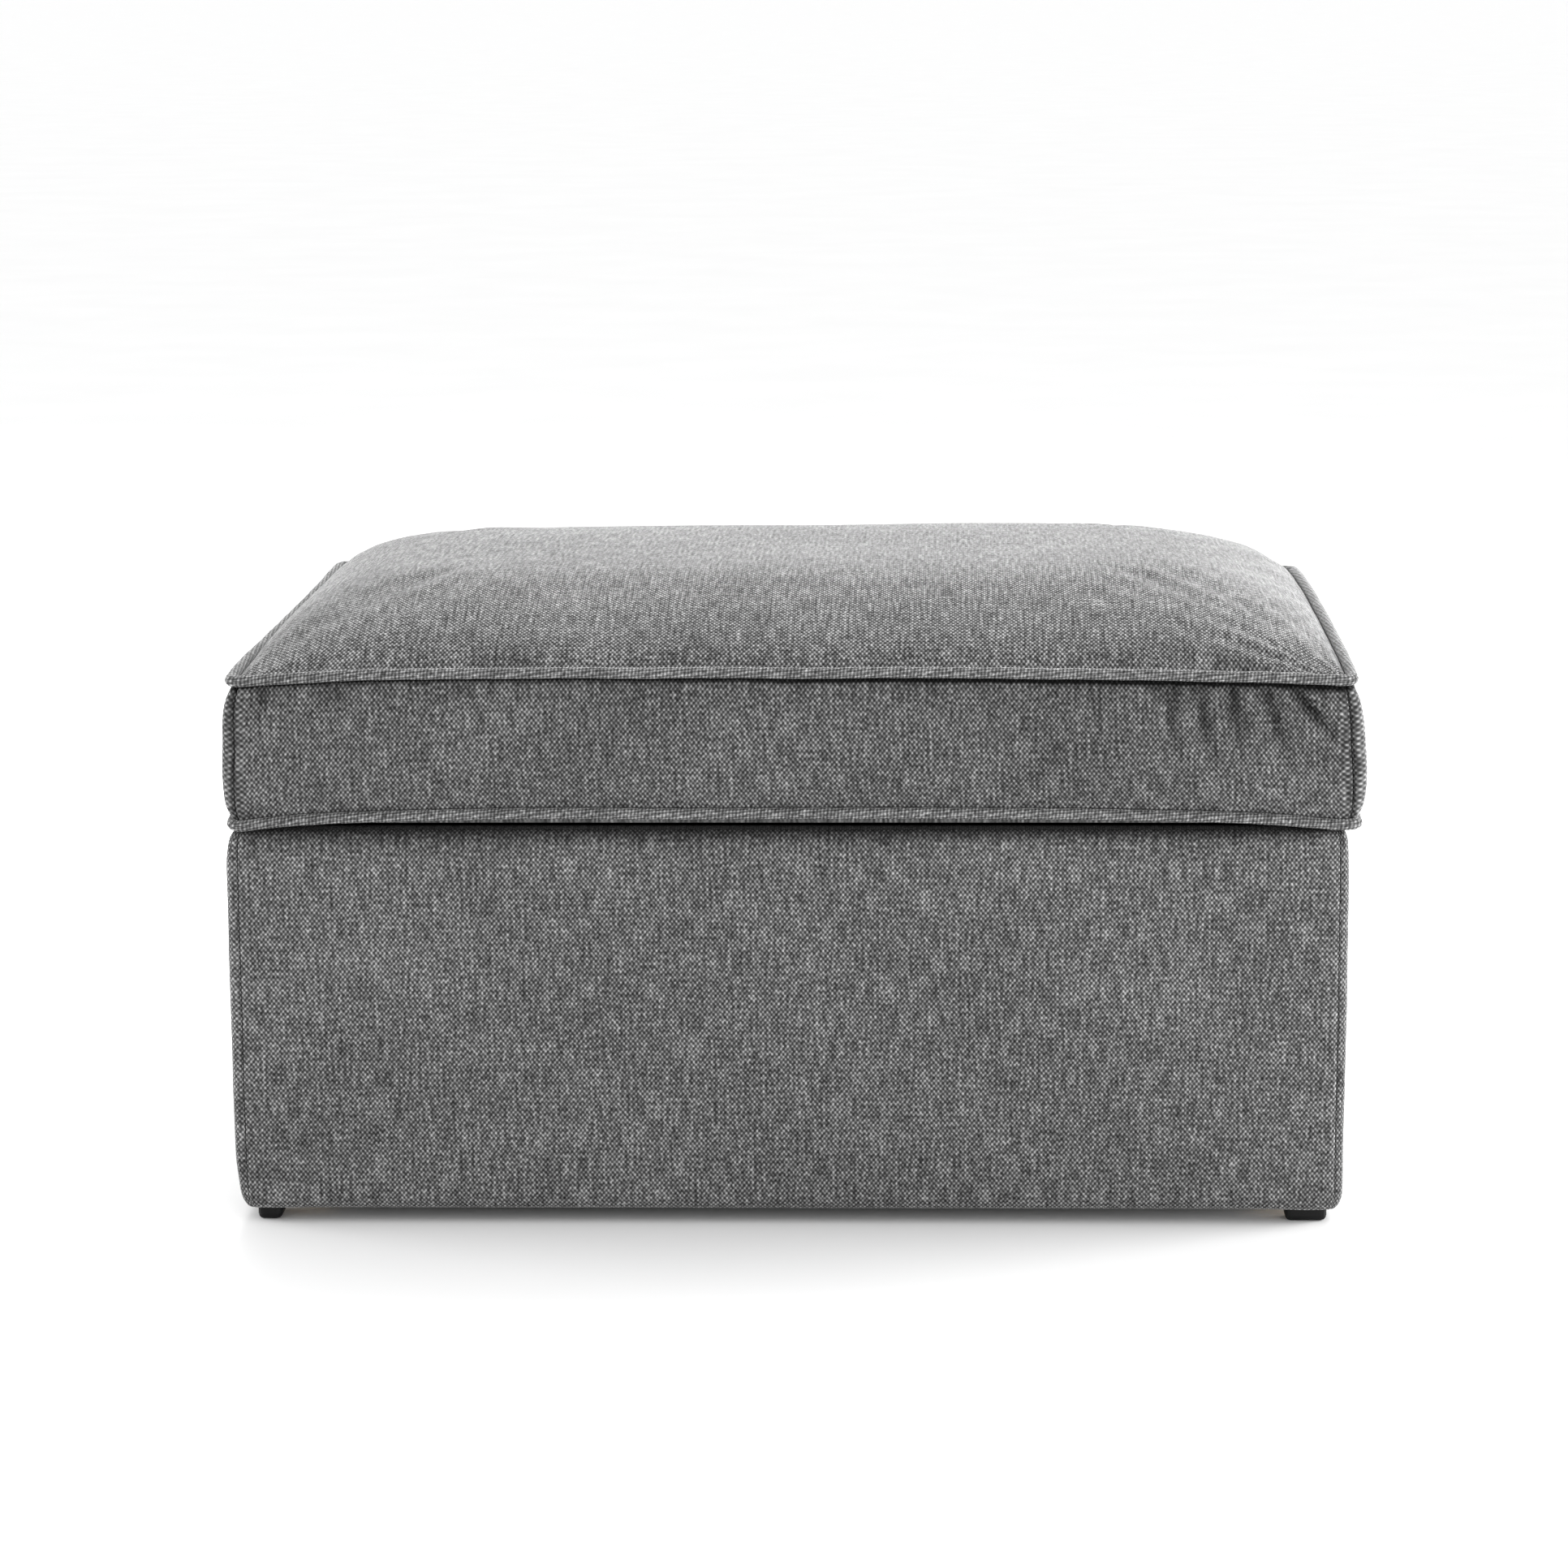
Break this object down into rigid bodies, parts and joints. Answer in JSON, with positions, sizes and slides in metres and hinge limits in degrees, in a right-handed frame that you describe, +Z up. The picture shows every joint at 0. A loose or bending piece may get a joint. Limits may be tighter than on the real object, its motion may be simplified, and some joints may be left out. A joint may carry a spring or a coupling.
{
  "type": "storage ottoman",
  "caption": "Upholstered rectangular storage footstool: piped, crowned cushion lid on back hinges with slotted stays, lined storage space, low black glides.",
  "frame": {"origin": "on the floor, under the middle of the ottoman", "axes": "+X to the right along the long side, +Y to the back where the hinges are, +Z up"},
  "size_m": [0.8314, 0.6098, 0.468],
  "materials": {
    "cloth": "woven chenille-look upholstery cloth, mid grey",
    "lining": "black non-woven lining",
    "wadding": "white polyester wadding",
    "foam": "open-cell cushion foam",
    "board": "plywood",
    "rail": "planed pine",
    "plastic": "moulded black plastic, satin",
    "steel": "zinc-plated steel",
    "felt": "dark felt pad"
  },
  "bodies": {
    "base": {"bottom_rail_front": "rail", "bottom_rail_back": "rail", "bottom_rail_left": "rail", "bottom_rail_middle": "rail", "bottom_rail_right": "rail", "front_panel": "board", "back_panel": "board", "left_panel": "board", "right_panel": "board", "bottom_panel": "board", "wadding_wrap": "wadding", "base_cover_front": "cloth", "base_cover_back": "cloth", "base_cover_left": "cloth", "base_cover_right": "cloth", "lining_bag": "lining", "dust_cover": "lining", "foot_front_left": "plastic", "foot_front_right": "plastic", "foot_back_left": "plastic", "foot_back_right": "plastic", "hinge_left_base_leaf": "steel", "hinge_right_base_leaf": "steel", "hinge_left_base_screw_1": "steel", "hinge_left_base_screw_2": "steel", "hinge_right_base_screw_1": "steel", "hinge_right_base_screw_2": "steel", "stay_left_stud": "steel", "stay_right_stud": "steel"},
    "lid": {"lid_board": "board", "lid_foam": "foam", "lid_wadding": "wadding", "cushion_top": "cloth", "boxing_front": "cloth", "boxing_back": "cloth", "boxing_left": "cloth", "boxing_right": "cloth", "welt_upper": "cloth", "welt_lower": "cloth", "lid_underside_cloth": "lining", "lid_bumper_left": "felt", "lid_bumper_right": "felt", "hinge_left_lid_leaf": "steel", "hinge_right_lid_leaf": "steel", "hinge_left_pin": "steel", "hinge_right_pin": "steel", "hinge_left_lid_screw_1": "steel", "hinge_left_lid_screw_2": "steel", "hinge_right_lid_screw_1": "steel", "hinge_right_lid_screw_2": "steel", "stay_left_bracket": "steel", "stay_right_bracket": "steel", "stay_left_rivet": "steel", "stay_right_rivet": "steel", "stay_left_bracket_screw_1": "steel", "stay_left_bracket_screw_2": "steel", "stay_right_bracket_screw_1": "steel", "stay_right_bracket_screw_2": "steel"},
    "stay_arm_left": {"stay_left_arm": "steel"},
    "stay_arm_right": {"stay_right_arm": "steel"}
  },
  "joints": [
    {"name": "lid_hinge", "type": "hinge", "parent": "base", "child": "lid", "pos_m": [0, 0.3015, 0.3], "axis": [-1, 0, 0], "range_deg": [0, 85]},
    {"name": "stay_left_pivot", "type": "hinge", "parent": "lid", "child": "stay_arm_left", "pos_m": [-0.3765, 0.16723, 0.286], "axis": [-1, 0, 0], "range_deg": [-42.5, 0]},
    {"name": "stay_right_pivot", "type": "hinge", "parent": "lid", "child": "stay_arm_right", "pos_m": [0.3765, 0.16723, 0.286], "axis": [-1, 0, 0], "range_deg": [-42.5, 0]}
  ],
  "couplings": [
    {"joint": "stay_left_pivot", "follows": "lid_hinge", "ratio": -0.5},
    {"joint": "stay_right_pivot", "follows": "lid_hinge", "ratio": -0.5}
  ]
}
